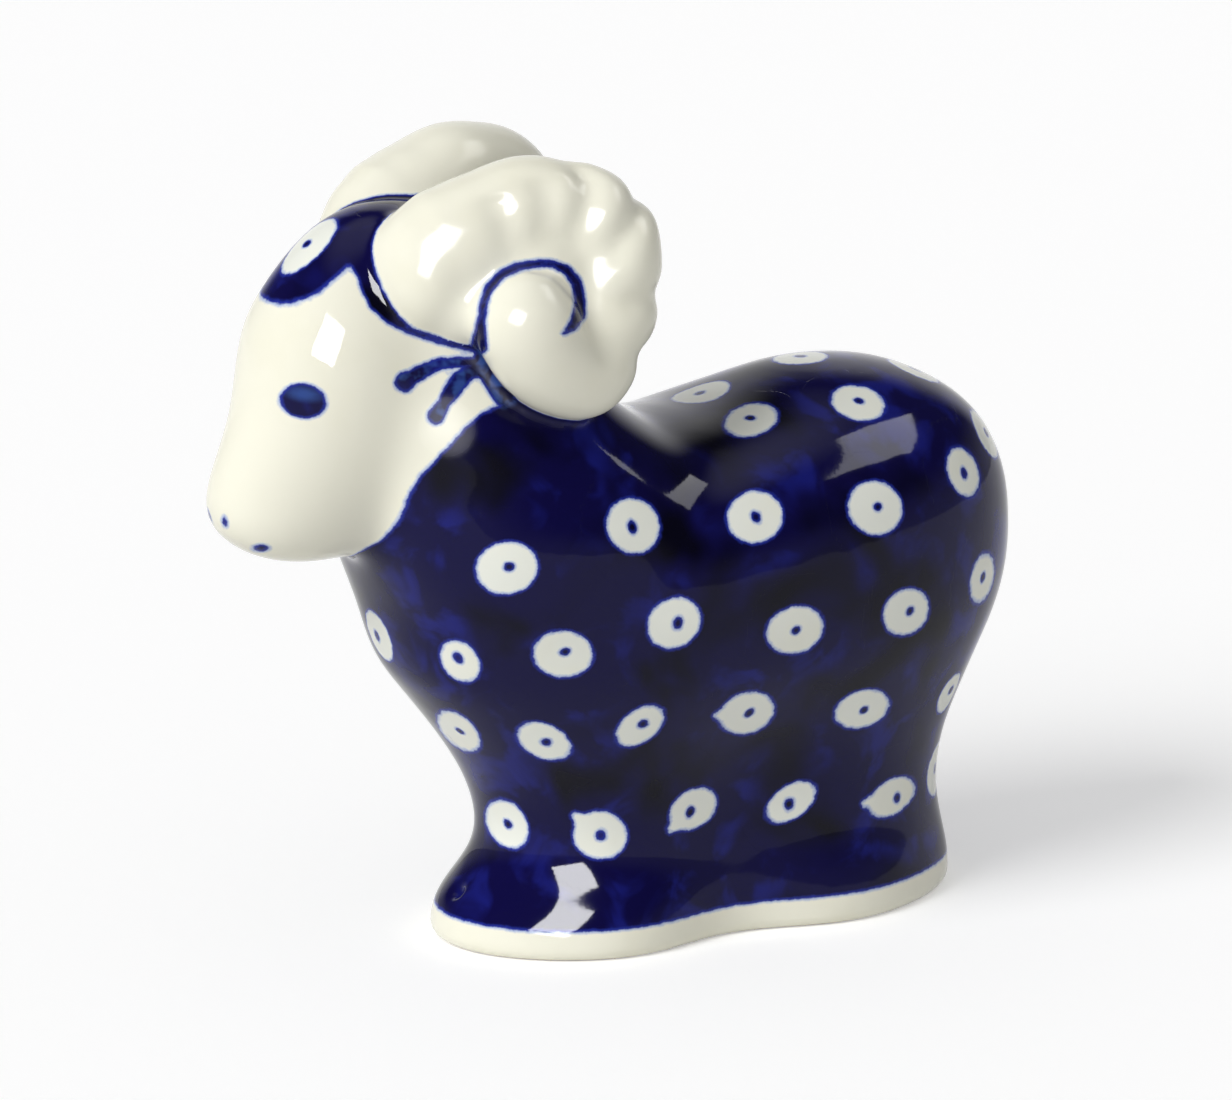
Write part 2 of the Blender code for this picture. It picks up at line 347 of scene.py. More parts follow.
# Ovals: middle, half sizes and lean
EYE = ((303, 401), (23.5, 17.5), -8)
# A painted highlight: a paler blue oval over the upper part of the eye, standing in for mirrored light
PAINTED_EYE_HIGHLIGHT = ((304, 394), (15, 6), -8)
NOSTRIL = ((225, 522), (2.8, 5.0), 10)
MOUTH = ((261, 548), (8.0, 3.6), 0)
# Where the cheek runs into the neck, the glaze mirrors softly
SOFT_CHEEK = ((447, 428), (26, 26), 0)

RIB_VALLEYS = (
    Valley(outer=(500, 210), inner=(516, 260), depth=0.8, half_width=2.4, run_out=2.5),
    Valley(outer=(546, 192), inner=(548, 244), depth=0.55, half_width=2.2, run_out=2.5),
    Valley(outer=(590, 182), inner=(571, 250), depth=1.2, half_width=2.2, run_out=2.5),
    Valley(outer=(636, 222), inner=(592, 268), depth=1.0, half_width=2.1, run_out=12.0),
    Valley(outer=(648, 300), inner=(600, 303), depth=0.9, half_width=2.1, run_out=12.0),
    Valley(outer=(632, 352), inner=(590, 338), depth=0.8, half_width=2.1, run_out=12.0),
)
# How far in mm a valley fades past its inner end and before it
VALLEY_FADE = (2.0, 5.0)
# How far a valley turns round the near horn, and how much farther for each mm of run-out
VALLEY_LEAST_TURN = 0.45
VALLEY_TURN = 0.14
TOE_DIMPLE = (457, 891)
TOE_DIMPLE_DEPTH = 1.1
TOE_DIMPLE_RADIUS = 0.95

# Edges of the cream face in side view, as places along Y and Z
FACE_EDGE = (
    (-80.0, 88.5),
    (-63.9, 90.8),
    (-62.4, 91.3),
    (-60.1, 92.6),
    (-57.8, 94.4),
    (-55.7, 95.9),
    (-55.0, 94.0),
    (-52.5, 89.6),
    (-49.4, 87.5),
    (-42.2, 84.6),
    (-36.0, 80.5),
    (-38.6, 77.8),
    (-41.7, 76.8),
    (-44.2, 75.1),
    (-46.9, 72.2),
    (-49.3, 68.8),
    (-50.4, 65.8),
    (-51.0, 62.5),
    (-52.1, 59.5),
    (-54.0, 57.4),
    (-56.0, 50.0),
    (-80.0, 50.0),
)
FOOT_BAND_HEIGHT = 4.2

# A distance in mm that stands for nowhere near
NOWHERE = 1e3
# Places below this height, in mm, are all on the body, and count as this far from a horn
LOWEST_HORN = 74
FAR_FROM_HORN = 20.0
# Between these heights, in mm, the horn's underside begins
UNDERSIDE_TOP = 88.0
UNDERSIDE_BOTTOM = 83.0
# How much nearer to a horn than to the body, in mm, a place may be and still take a line or stroke
BASE_LINE_LIMIT = 0.8
EAR_STROKE_LIMIT = 0.3
NECK_STROKE_LIMIT = 2.4
# How much nearer to a horn than to the body, in mm, a place has to be to take the spiral
SPIRAL_LIMIT = -1.0
# How far skin has to face the camera to be painted from the frame, and to count as seen
WIDEST_TURN = -0.1
SEEN = 0.05
HORN_PAINT_INSET = 0.4
UNDERSIDE_PAINT_INSET = 0.9


def distances(rows, position):
    places = [0.0]
    for before, after in zip(rows, rows[1:]):
        places.append(places[-1] + (position(after) - position(before)).length)
    return places


def smooth_between(places, values):
    """A curve through the values that doesn't swing past them."""
    slopes = [(b - a) / (q - p) for a, b, p, q in zip(values, values[1:], places, places[1:])]
    tangents = [slopes[0]]
    for before, after in zip(slopes, slopes[1:]):
        turns_back = before * after <= 0
        tangents.append(0.0 if turns_back else 2 * before * after / (before + after))
    tangents.append(slopes[-1])

    def value_at(place):
        i = max(k for k in range(len(places) - 1) if k == 0 or places[k] <= place)
        span = places[i + 1] - places[i]
        t = (place - places[i]) / span
        start = values[i] * (1 + 2 * t) * (1 - t) ** 2 + tangents[i] * span * t * (1 - t) ** 2
        end = values[i + 1] * t * t * (3 - 2 * t) + tangents[i + 1] * span * t * t * (t - 1)
        return start + end

    return value_at


def refine(rows, position):
    places = distances(rows, position)
    curves = [smooth_between(places, column) for column in zip(*rows)]
    steps = RINGS_PER_ROUND * (len(rows) - 1)
    return [type(rows[0])(*(curve(places[-1] * k / steps) for curve in curves)) for k in range(steps + 1)]


def ring(centre, across, along, roundness=2.0):
    points = []
    for step in range(RING_POINTS):
        angle = 2 * math.pi * step / RING_POINTS
        u = math.copysign(abs(math.cos(angle)) ** (2 / roundness), math.cos(angle))
        v = math.copysign(abs(math.sin(angle)) ** (2 / roundness), math.sin(angle))
        points.append(centre + across * u + along * v)
    return points


def add_loft(mesh, rings):
    rows = [[mesh.verts.new(point) for point in points] for points in rings]
    faces = [mesh.faces.new(rows[0]), mesh.faces.new(rows[-1])]
    for lower, upper in zip(rows, rows[1:]):
        for i in range(RING_POINTS):
            j = (i + 1) % RING_POINTS
            faces.append(mesh.faces.new((lower[i], lower[j], upper[j], upper[i])))
    bmesh.ops.recalc_face_normals(mesh, faces=faces)


def add_ball(mesh, centre, half_sizes):
    place = Matrix.Translation(centre) @ Matrix.Diagonal(half_sizes).to_4x4()
    rows = RING_POINTS // 2
    bmesh.ops.create_uvsphere(mesh, u_segments=RING_POINTS, v_segments=rows, radius=1.0, matrix=place)


def level_rings(levels):
    rings = []
    for level in refine(levels, lambda row: Vector((row.front, row.back, row.height))):
        centre = Vector((0.0, (level.front + level.back) / 2, level.height))
        along = Vector((0.0, (level.back - level.front) / 2, 0.0))
        points = ring(centre, Vector((level.half_width, 0.0, 0.0)), along, level.roundness)
        for point in points:
            nip = level.waist * math.exp(-(((point.y - WAIST_PLACE) / WAIST_SPREAD) ** 2))
            taper = NARROWING_TO_REAR * point.y
            point.x *= 1 - nip / level.half_width - taper
        rings.append(points)
    return rings


def head_rings():
    down = Vector((0.0, -math.cos(FACE_PITCH), -math.sin(FACE_PITCH)))
    outward = Vector((0.0, -math.sin(FACE_PITCH), math.cos(FACE_PITCH)))
    rings = []
    for cut in refine(HEAD, lambda row: Vector((row.place, row.face, row.throat))):
        centre = CROWN + down * cut.place + outward * (cut.face + cut.throat) / 2
        across = Vector((cut.half_width, 0.0, 0.0))
        rings.append(ring(centre, across, outward * (cut.face - cut.throat) / 2, HEAD_ROUNDNESS))
    return rings


def horn_place(place, side):
    """A place on the left horn, or the same place on the right horn."""
    if side > 0:
        return place
    return Vector((-place.x, place.y, place.z)) + RIGHT_HORN_SHIFT


def horn_rings(side):
    beads = refine(HORN, lambda row: Vector((row.x, row.y, row.z)))
    centres = [horn_place(Vector((bead.x, bead.y, bead.z)), side) for bead in beads]
    rings = []
    for i, bead in enumerate(beads):
        ahead = centres[min(i + 1, len(beads) - 1)] - centres[max(i - 1, 0)]
        level = ahead.cross(Vector((1.0, 0.0, 0.0))).normalized()
        outward = level.cross(ahead).normalized()
        rings.append(ring(centres[i], level * bead.depth, outward * bead.thickness))
    return rings


def body_forms():
    mesh = bmesh.new()
    add_loft(mesh, level_rings(TORSO))
    add_loft(mesh, level_rings(NECK))
    add_loft(mesh, head_rings())
    add_ball(mesh, WITHERS_CENTRE, WITHERS_HALF_SIZES)
    return mesh


def horn_forms():
    mesh = bmesh.new()
    for side in (1, -1):
        add_loft(mesh, horn_rings(side))
        core = Vector((HORN_CORE_HALF_THICKNESS, HORN_CORE_RADIUS, HORN_CORE_RADIUS))
        for centre, half_sizes in ((HORN_CORE_CENTRE, core), *HORN_ROOT):
            add_ball(mesh, horn_place(centre, side), half_sizes)
    return mesh


def one_skin(forms, softening):
    """Welds closed shapes, given as a bmesh in millimetres, into one fine skin."""
    data = bpy.data.meshes.new("forms")
    forms.to_mesh(data)
    forms.free()
    obj = bpy.data.objects.new("forms", data)
    bpy.context.scene.collection.objects.link(obj)
    remesh = obj.modifiers.new("one skin", "REMESH")
    remesh.mode = "VOXEL"
    remesh.voxel_size = SKIN_CELL
    soften = obj.modifiers.new("soften", "SMOOTH")
    soften.factor = 0.5
    soften.iterations = softening
    graph = bpy.context.evaluated_depsgraph_get()
    skin = bmesh.new()
    skin.from_object(obj, graph)
    bpy.data.objects.remove(obj)
    return skin


def tree_of(skin):
    return BVHTree.FromBMesh(skin)


def coordinates(skin):
    return np.array([v.co for v in skin.verts]), np.array([v.normal for v in skin.verts])


def smooth_step(low, high, value):
    t = np.clip((value - low) / (high - low), 0, 1)
    return t * t * (3 - 2 * t)


class Frame:
    """Finds what a place in the photograph's frame shows on the ram."""

    def __init__(self, tree):
        self.tree = tree
        azimuth, elevation = CAMERA_AZIMUTH, CAMERA_ELEVATION
        level = math.cos(elevation)
        self.back = Vector((math.sin(azimuth) * level, -math.cos(azimuth) * level, math.sin(elevation)))
        self.right = Vector((math.cos(azimuth), math.sin(azimuth), 0.0))
        self.up = self.back.cross(self.right)
        self.eye = CAMERA_TARGET + self.back * CAMERA_DISTANCE

    def point(self, px, py):
        for step in range(OUTLINE_STEPS):
            nearer = step * OUTLINE_STEP_SHARE
            across = (px + (MIDDLE_OF_RAM[0] - px) * nearer - FRAME_WIDTH / 2) / FOCAL_PIXELS
            upward = (FRAME_HEIGHT / 2 - py - (MIDDLE_OF_RAM[1] - py) * nearer) / FOCAL_PIXELS
            ray = (self.right * across + self.up * upward - self.back).normalized()
            found = self.tree.ray_cast(self.eye, ray)
            if found[0] is not None:
                return found[0], found[1]
        raise ValueError(f"nothing at {px}, {py}")

    def places(self, points):
        """Where the frame shows each point, and how many pixels a millimetre takes there."""
        offset = points - np.array(self.eye)
        scale = FOCAL_PIXELS / -(offset @ np.array(self.back))
        across = FRAME_WIDTH / 2 + (offset @ np.array(self.right)) * scale
        downward = FRAME_HEIGHT / 2 - (offset @ np.array(self.up)) * scale
        return np.stack([across, downward], axis=1), scale


def line_distance(points, line):
    """How deep each point lies inside a line of varying half width, negative outside it."""
    best = np.full(len(points), -NOWHERE)
    for (start, first), (end, last) in zip(line, line[1:]):
        span = end - start
        along = np.clip(((points - start) @ span) / (span @ span), 0, 1)
        reach = first + (last - first) * along
        gap = np.linalg.norm(points - start - along[:, None] * span, axis=1)
        best = np.maximum(best, reach - gap)
    return best


def drawn_line(frame, points, facing, line):
    """How deep in mm each point lies inside a line drawn in the frame, on the skin it was drawn on."""
    places, scale = frame.places(points)
    middles = [(np.array(frame.point(px, py)[0]), SKIN_REACH) for px, py, half_width in line]
    drawn = [(np.array((px, py)), half_width) for px, py, half_width in line]
    reached = facing & (line_distance(points, middles) > 0)
    return np.where(reached, line_distance(places, drawn) / scale, -NOWHERE)


def drawn_oval(frame, points, facing, middle, half_sizes, lean):
    """How deep each point lies inside a leaning oval drawn in the frame, in millimetres."""
    places, scale = frame.places(points)
    turn = math.radians(lean)
    right, up = places[:, 0] - middle[0], middle[1] - places[:, 1]
    along = (right * math.cos(turn) + up * math.sin(turn)) / half_sizes[0]
    beside = (up * math.cos(turn) - right * math.sin(turn)) / half_sizes[1]
    depth = (1 - np.hypot(along, beside)) * math.sqrt(half_sizes[0] * half_sizes[1]) / scale
    near = np.linalg.norm(points - np.array(frame.point(*middle)[0]), axis=1) < OVAL_REACH
    return np.where(facing & near, depth, -NOWHERE)


def polygon_distance(y, z, corners):
    """How deep each place lies inside a polygon in side view, negative outside it."""
    inside = np.zeros(len(y), bool)
    gap = np.full(len(y), NOWHERE)
    for (y0, z0), (y1, z1) in zip(corners, corners[1:] + corners[:1]):
        run, rise = y1 - y0, z1 - z0
        along = np.clip(((y - y0) * run + (z - z0) * rise) / (run**2 + rise**2), 0, 1)
        gap = np.minimum(gap, np.hypot(y - y0 - along * run, z - z0 - along * rise))
        crosses = (z0 > z) != (z1 > z)
        at = y0 + (z - z0) * run / (rise if rise != 0 else 1e-9)
        inside ^= crosses & (y < at)
    return np.where(inside, gap, -gap)


def tangent_frame(normal):
    """Rightward and upward directions on the surface, as seen from outside."""
    across = Vector((0.0, 0.0, 1.0)).cross(normal)
    if across.length < 0.2:
        across = Vector((0.0, 1.0, 0.0))
    across = (across - normal * across.dot(normal)).normalized()
    return across, normal.cross(across)


def is_seen(normal, frame):
    return normal.dot(frame.back) > SEEN


def hidden_side_dots(frame, candidates, rng):
    """Places for the dots that the frame doesn't show.

    The drawn dots are mirrored first, and then more are added at the same pitch.
    """
    drawn = [frame.point(dot.x, dot.y) for dot in DOTS]
    taken = [point for point, normal in drawn]
    dots = []

    def add(found):
        taken.append(found[0])
        dots.append((found[0], found[1], rng.uniform(0, math.pi)))

    for px, py in OUTLINE_DOTS:
        add(frame.point(px, py))
    for point, normal in drawn:
        nudge = Vector(rng.uniform(-DOT_NUDGE, DOT_NUDGE, 3))
        found = frame.tree.find_nearest(Vector((-point.x, point.y, point.z)) + nudge)
        clear = all((found[0] - other).length > MIRRORED_DOT_PITCH for other in taken)
        if clear and not is_seen(found[1], frame):
            add(found)
    while True:
        gaps = np.min(np.linalg.norm(candidates[:, None] - np.array(taken)[None], axis=2), axis=1)
        gaps[gaps < DOT_PITCH] = np.inf
        nearest = int(np.argmin(gaps))
        if not np.isfinite(gaps[nearest]):
            return dots
        add(frame.tree.find_nearest(Vector(candidates[nearest])))


def pupil_place(points, centre, normal, rng):
    """Places on the surface measured from a pupil, with a number of its own for each dot."""
    across, upward = tangent_frame(normal)
    offset = points - np.array(centre)
    columns = (offset @ np.array(across), offset @ np.array(upward) * rng.uniform(0.8, 1.2))
    own_number = np.full(len(points), rng.uniform(0, 10))
    return np.stack([*columns, own_number], axis=1), np.linalg.norm(offset, axis=1)


def round_dot(points, centre, normal, half_sizes, lean):
    across, upward = tangent_frame(normal)
    offset = points - np.array(centre)
    u, v = offset @ np.array(across), offset @ np.array(upward)
    along = (u * math.cos(lean) + v * math.sin(lean)) / half_sizes[0]
    beside = (v * math.cos(lean) - u * math.sin(lean)) / half_sizes[1]
    depth = (1 - np.hypot(along, beside)) * math.sqrt(half_sizes[0] * half_sizes[1])
    return np.where(np.linalg.norm(offset, axis=1) < OVAL_REACH, depth, -NOWHERE)


def dot_depth(dot, points, facing, frame):
    """How deep in mm each point lies inside one of the drawn dots."""
    centre, normal = frame.point(dot.x, dot.y)
    if normal.dot(frame.back) < GRAZING:
        half_size = ROUNDED_DOT_SHARE * dot.long * CAMERA_DISTANCE / FOCAL_PIXELS
        depth = round_dot(points, centre, normal, (half_size, half_size), 0.0)
    else:
        depth = drawn_oval(frame, points, facing, (dot.x, dot.y), (dot.long, dot.short), dot.lean)
    if dot.corner is None:
        return depth
    drawn_out = ((dot.x, dot.y, DRAWN_OUT_SHARE * dot.short), (*dot.corner, CORNER_HALF_WIDTH))
    return np.maximum(depth, drawn_line(frame, points, facing, drawn_out))


def dot_fields(points, normals, frame, hidden, rng):
    """How deep each point lies in a white dot, and its place from the nearest blue pupil."""
    white = np.full(len(points), -NOWHERE)
    facing = normals @ np.array(frame.back) > 0
    pupils = []
    for dot in DOTS:
        white = np.maximum(white, dot_depth(dot, points, facing, frame))
        pupils.append(frame.point(*dot.pupil))
    for centre, normal, lean in hidden:
        white = np.maximum(white, round_dot(points, centre, normal, ROUND_DOT_HALF_SIZES, lean))
        pupils.append((centre, normal))
    drawn = frame.point(*FOREHEAD_DOT)[0]
    forehead, normal = frame.tree.find_nearest(Vector((0.0, drawn.y, drawn.z)))[:2]
    white = np.maximum(white, round_dot(points, forehead, normal, FOREHEAD_DOT_HALF_SIZES, math.pi / 2))
    pupils.append((forehead, normal))
    pupil = np.full((len(points), 3), NO_PUPIL)
    nearest = np.full(len(points), PUPIL_REACH)
    for centre, normal in pupils:
        place, gap = pupil_place(points, centre, normal, rng)
        closer = gap < nearest
        nearest = np.where(closer, gap, nearest)
        pupil = np.where(closer[:, None], place, pupil)
    return white, pupil


def onto_left_side(points, normals, on_horn):
    """The points and normals with the right side of the ram laid onto its mirror image."""
    right = points[:, 0] < 0
    flip = np.where(right, -1.0, 1.0)[:, None] * np.array((1.0, 0.0, 0.0)) + np.array((0.0, 1.0, 1.0))
    shift = (right * smooth_step(-1.5, 0.0, on_horn))[:, None] * np.array(RIGHT_HORN_SHIFT)
    return (points - shift) * flip, normals * flip


def set_float(mesh, name, values):
    attribute = mesh.attributes.new(name, "FLOAT", "POINT")
    attribute.data.foreach_set("value", np.ascontiguousarray(values, np.float32))


def set_vector(mesh, name, values):
    attribute = mesh.attributes.new(name, "FLOAT_VECTOR", "POINT")
    attribute.data.foreach_set("vector", np.ascontiguousarray(values, np.float32).ravel())


def cut_sole(skin):
    whole = list(skin.verts) + list(skin.edges) + list(skin.faces)
    cut = bmesh.ops.bisect_plane(skin, geom=whole, plane_co=(0, 0, 0), plane_no=(0, 0, -1), clear_outer=True)
    edges = [item for item in cut["geom_cut"] if isinstance(item, bmesh.types.BMEdge)]
    bmesh.ops.edgeloop_fill(skin, edges=edges)
    skin.normal_update()


def round_sole_edge(skin):
    """Draws the lowest rim in, as glaze wiped from the foot leaves it."""
    for vertex in skin.verts:
        height = max(0.0, vertex.co.z)
        if height < SOLE_EDGE_RADIUS:
            outward = Vector((vertex.normal.x, vertex.normal.y, 0.0))
            if outward.length > 0.3:
                inset = SOLE_EDGE_RADIUS - math.sqrt(SOLE_EDGE_RADIUS**2 - (SOLE_EDGE_RADIUS - height) ** 2)
                vertex.co -= outward.normalized() * inset * SOLE_EDGE_SHARE


def valley_depth(valley, frame, rearward, upward):
    """How deep in mm a valley is at each place in side view."""
    start, end = frame.point(*valley.outer)[0], frame.point(*valley.inner)[0]
    run, rise = end.y - start.y, end.z - start.z
    length = math.hypot(run, rise)
    along = ((rearward - start.y) * run + (upward - start.z) * rise) / length
    beside = ((rearward - start.y) * rise - (upward - start.z) * run) / length
    reach = smooth_step(-valley.run_out, -valley.run_out / 3, along)
    reach *= smooth_step(length + VALLEY_FADE[0], length - VALLEY_FADE[1], along)
    return valley.depth * np.exp(-((beside / valley.half_width) ** 2)) * reach


def press_valleys(skin, on_horn, frame):
    """Presses the soft valleys between the horn's ribs and the dimple in the toe into the skin."""
    points, normals = coordinates(skin)
    depth = np.zeros(len(points))
    right = points[:, 0] < 0
    rearward = points[:, 1] - np.where(right, RIGHT_HORN_SHIFT.y, 0.0)
    upward = points[:, 2] - np.where(right, RIGHT_HORN_SHIFT.z, 0.0)
    outward = normals[:, 0] * np.sign(points[:, 0])
    for valley in RIB_VALLEYS:
        least = np.where(right, 0.0, -VALLEY_LEAST_TURN - VALLEY_TURN * valley.run_out)
        turn = smooth_step(0.0, 1.0, outward - least)
        depth += valley_depth(valley, frame, rearward, upward) * turn
    depth *= smooth_step(0.0, 2.0, on_horn)
    gap = np.linalg.norm(points - np.array(frame.point(*TOE_DIMPLE)[0]), axis=1)
    depth += TOE_DIMPLE_DEPTH * np.exp(-((gap / TOE_DIMPLE_RADIUS) ** 2))
    moved = points - normals * depth[:, None]
    for vertex, place in zip(skin.verts, moved):
        vertex.co = place


def join(skins):
    joined = bmesh.new()
    for skin in skins:
        data = bpy.data.meshes.new("part")
        skin.to_mesh(data)
        skin.free()
        joined.from_mesh(data)
    return joined


def nearer_horn(points, body_tree, horn_tree):
    """How much nearer to a horn than to the body each point lies, in mm."""
    to_body = np.zeros(len(points))
    to_horn = np.full(len(points), FAR_FROM_HORN)
    for i in np.where(points[:, 2] > LOWEST_HORN)[0]:
        place = Vector(points[i])
        to_body[i] = body_tree.find_nearest(place)[3]
        to_horn[i] = horn_tree.find_nearest(place)[3]
    return to_body - to_horn


def shape_ram():
    """The whole skin in millimetres, and how much nearer to a horn than to the body each point of it lies."""
    body = one_skin(body_forms(), BODY_SOFTENING)
    horns = one_skin(horn_forms(), HORNS_ALONE_SOFTENING)
    trees = tree_of(body), tree_of(horns)
    skin = one_skin(join((body, horns)), HORN_SOFTENING)
    cut_sole(skin)
    round_sole_edge(skin)
    skin.normal_update()
    on_horn = nearer_horn(coordinates(skin)[0], *trees)
    press_valleys(skin, on_horn, Frame(tree_of(skin)))
    skin.normal_update()
    return skin, on_horn


class Canvas(NamedTuple):
    """The skin as the brush meets it. Left holds its points with the right side laid onto the left."""

    points: np.ndarray
    normals: np.ndarray
    left: np.ndarray
    facing: np.ndarray
    on_horn: np.ndarray
    under_horn: np.ndarray


def canvas_of(skin, on_horn, frame):
    points, normals = coordinates(skin)
    left, left_normals = onto_left_side(points, normals, on_horn)
    facing = left_normals @ np.array(frame.back) > WIDEST_TURN
    under_horn = smooth_step(UNDERSIDE_TOP, UNDERSIDE_BOTTOM, points[:, 2])
    return Canvas(points, normals, left, facing, on_horn, under_horn)


def brushed_strokes(canvas, frame):
    """How deep in mm each point lies in the strokes brushed behind the eye and under the horn."""
    ears = ((UPPER_EAR_STROKE, EAR_STROKE_LIMIT), (LOWER_EAR_STROKE, EAR_STROKE_LIMIT))
    wash = np.full(len(canvas.points), -5.0)
    for stroke, limit in (*ears, (NECK_STROKE, NECK_STROKE_LIMIT)):
        reached = canvas.facing & (canvas.on_horn < limit)
        wash = np.maximum(wash, drawn_line(frame, canvas.left, reached, stroke))
    return wash


def blue_paint(canvas, face, wash, frame):
    """How deep in mm each point lies in blue paint, before the white dots."""
    horn = canvas.on_horn - HORN_PAINT_INSET - UNDERSIDE_PAINT_INSET * canvas.under_horn
    cream = np.maximum(np.maximum(face, horn), FOOT_BAND_HEIGHT - canvas.points[:, 2])
    base = drawn_line(frame, canvas.left, canvas.facing & (canvas.on_horn < BASE_LINE_LIMIT), HORN_BASE_LINE)
    spiral = drawn_line(frame, canvas.left, canvas.facing & (canvas.on_horn > SPIRAL_LIMIT), SPIRAL_LINE)
    ground = np.maximum.reduce([-cream, base, spiral, wash])
    for oval in (EYE, NOSTRIL, MOUTH):
        ground = np.maximum(ground, drawn_oval(frame, canvas.left, canvas.facing, *oval))
    return ground


def soft_glaze(canvas, frame):
    """Where the glaze mirrors softly: in the crease under the horn and at the back of the cheek."""
    crease = smooth_step(2.5, 0.5, np.abs(canvas.on_horn)) * canvas.under_horn
    cheek = smooth_step(-1.5, 0.5, drawn_oval(frame, canvas.left, canvas.facing, *SOFT_CHEEK))
    return np.maximum(crease, cheek)


def free_places(canvas, ground, face, frame):
    """Places that the frame doesn't show and where a dot has room."""
    heights = canvas.points[:, 2]
    free = (ground > DOT_CLEARANCE - 1.0) & (heights > LOWEST_HIDDEN_DOT) & (heights < HIGHEST_HIDDEN_DOT)
    free &= (-face > DOT_CLEARANCE) & (canvas.normals @ np.array(frame.back) < 0.0)
    return canvas.points[free][::CANDIDATE_STEP]


def build_ram():
    skin, on_horn = shape_ram()
    frame = Frame(tree_of(skin))
    canvas = canvas_of(skin, on_horn, frame)
    face = polygon_distance(canvas.points[:, 1], canvas.points[:, 2], list(FACE_EDGE))
    wash = brushed_strokes(canvas, frame)
    ground = blue_paint(canvas, face, wash, frame)
    rng = np.random.default_rng(SEED)
    hidden = hidden_side_dots(frame, free_places(canvas, ground, face, frame), rng)
    white, pupil = dot_fields(canvas.points, canvas.normals, frame, hidden, rng)
    # The painted highlight in the eye, as depth inside its oval
    painted_eye_highlight = drawn_oval(frame, canvas.left, canvas.facing, *PAINTED_EYE_HIGHLIGHT)

    skin.transform(Matrix.Diagonal((MM, MM, MM, 1.0)))
    mesh = bpy.data.meshes.new("ram_glazed")
    skin.to_mesh(mesh)
    skin.free()
    set_float(mesh, "ground", ground)
    set_float(mesh, "white", np.minimum(white, ground))
    set_float(mesh, "wash", wash)
    set_float(mesh, "painted_eye_highlight", np.maximum(painted_eye_highlight, -5))
    set_float(mesh, "on_horn", on_horn)
    set_float(mesh, "soft", soft_glaze(canvas, frame))
    set_vector(mesh, "pupil", pupil)
    mesh.shade_smooth()
    ram = bpy.data.objects.new("ram_glazed", mesh)
    bpy.context.scene.collection.objects.link(ram)
    return ram


class Nodes:
    """Short ways to write a material's node tree."""

    def __init__(self, tree):
        self.tree = tree

    def add(self, kind, **settings):
        node = self.tree.nodes.new(kind)
        for name, value in settings.items():
            setattr(node, name, value)
        return node

    def feed(self, socket, value):
        if isinstance(value, bpy.types.NodeSocket):
            self.tree.links.new(value, socket)
        else:
            socket.default_value = value

    def math(self, operation, *values):
        node = self.add("ShaderNodeMath", operation=operation)
        for socket, value in zip(node.inputs, values):
            self.feed(socket, value)
        return node.outputs[0]

    def between(self, value, low, high):
        node = self.add("ShaderNodeMapRange", interpolation_type="SMOOTHSTEP", clamp=True)
        self.feed(node.inputs["Value"], value)
        node.inputs["From Min"].default_value = low
        node.inputs["From Max"].default_value = high
        return node.outputs["Result"]

    def mix(self, share, first, second):
        node = self.add("ShaderNodeMix", data_type="RGBA")
        self.feed(node.inputs[0], share)
        self.feed(node.inputs[6], first)
        self.feed(node.inputs[7], second)
        return node.outputs[2]

    def noise(self, place, scale, detail=2.0, roughness=0.5, distortion=0.0):
        node = self.add("ShaderNodeTexNoise")
        self.feed(node.inputs["Vector"], place)
        node.inputs["Scale"].default_value = scale
        node.inputs["Detail"].default_value = detail
        node.inputs["Roughness"].default_value = roughness
        node.inputs["Distortion"].default_value = distortion
        return node.outputs["Fac"]

    def attribute(self, name, output):
        node = self.add("ShaderNodeAttribute", attribute_name=name)
        return node.outputs[output]


def linear(red, green, blue):
    """A colour written as 0 to 255 display values."""
    channels = [c / 255 for c in (red, green, blue)]
    return tuple(c / 12.92 if c <= 0.04045 else ((c + 0.055) / 1.055) ** 2.4 for c in channels) + (1.0,)


CREAM = linear(247, 245, 227)
AGED_CREAM = linear(239, 236, 212)
DOT_WHITE = linear(240, 242, 232)
DEEP_BLUE = linear(14, 11, 62)
BLACK_BLUE = linear(7, 6, 22)
CLOUD_BLUE = linear(28, 34, 128)
EDGE_BLUE = linear(38, 50, 150)
HALO_BLUE = linear(176, 190, 224)
WASH_BLUE = linear(58, 92, 168)
BISQUE = linear(222, 205, 178)
DARK_BISQUE = linear(196, 176, 146)


def place_in_mm(n):
    scale = n.add("ShaderNodeVectorMath", operation="SCALE")
    n.feed(scale.inputs[0], n.add("ShaderNodeTexCoord").outputs["Object"])
    scale.inputs["Scale"].default_value = 1 / MM
    return scale.outputs[0]


def painted_depth(n, place):
    """How deep in mm a place lies in blue paint, with the ragged edge that a brush and a stamp leave."""
    coarse = n.math("SUBTRACT", n.noise(place, 0.9, 2.0, 0.5), 0.5)
    fine = n.math("SUBTRACT", n.noise(place, 3.2, 2.0, 0.6), 0.5)
    ragged = n.math("ADD", n.math("MULTIPLY", coarse, 0.5), n.math("MULTIPLY", fine, 0.2))
    ground = n.math("ADD", n.attribute("ground", "Fac"), n.math("MULTIPLY", ragged, 0.8))
    white = n.math("ADD", n.attribute("white", "Fac"), ragged)
    flat = n.add("ShaderNodeVectorMath", operation="MULTIPLY")
    n.feed(flat.inputs[0], n.attribute("pupil", "Vector"))
    flat.inputs[1].default_value = (1.0, 1.0, 0.0)
    length = n.add("ShaderNodeVectorMath", operation="LENGTH")
    n.feed(length.inputs[0], flat.outputs[0])
    pupil = n.math("SUBTRACT", PUPIL_RADIUS, length.outputs["Value"])
    pupil = n.math("ADD", pupil, n.math("MULTIPLY", ragged, 0.9))
    return n.math("MAXIMUM", n.math("MINIMUM", ground, n.math("MULTIPLY", white, -1.0)), pupil)


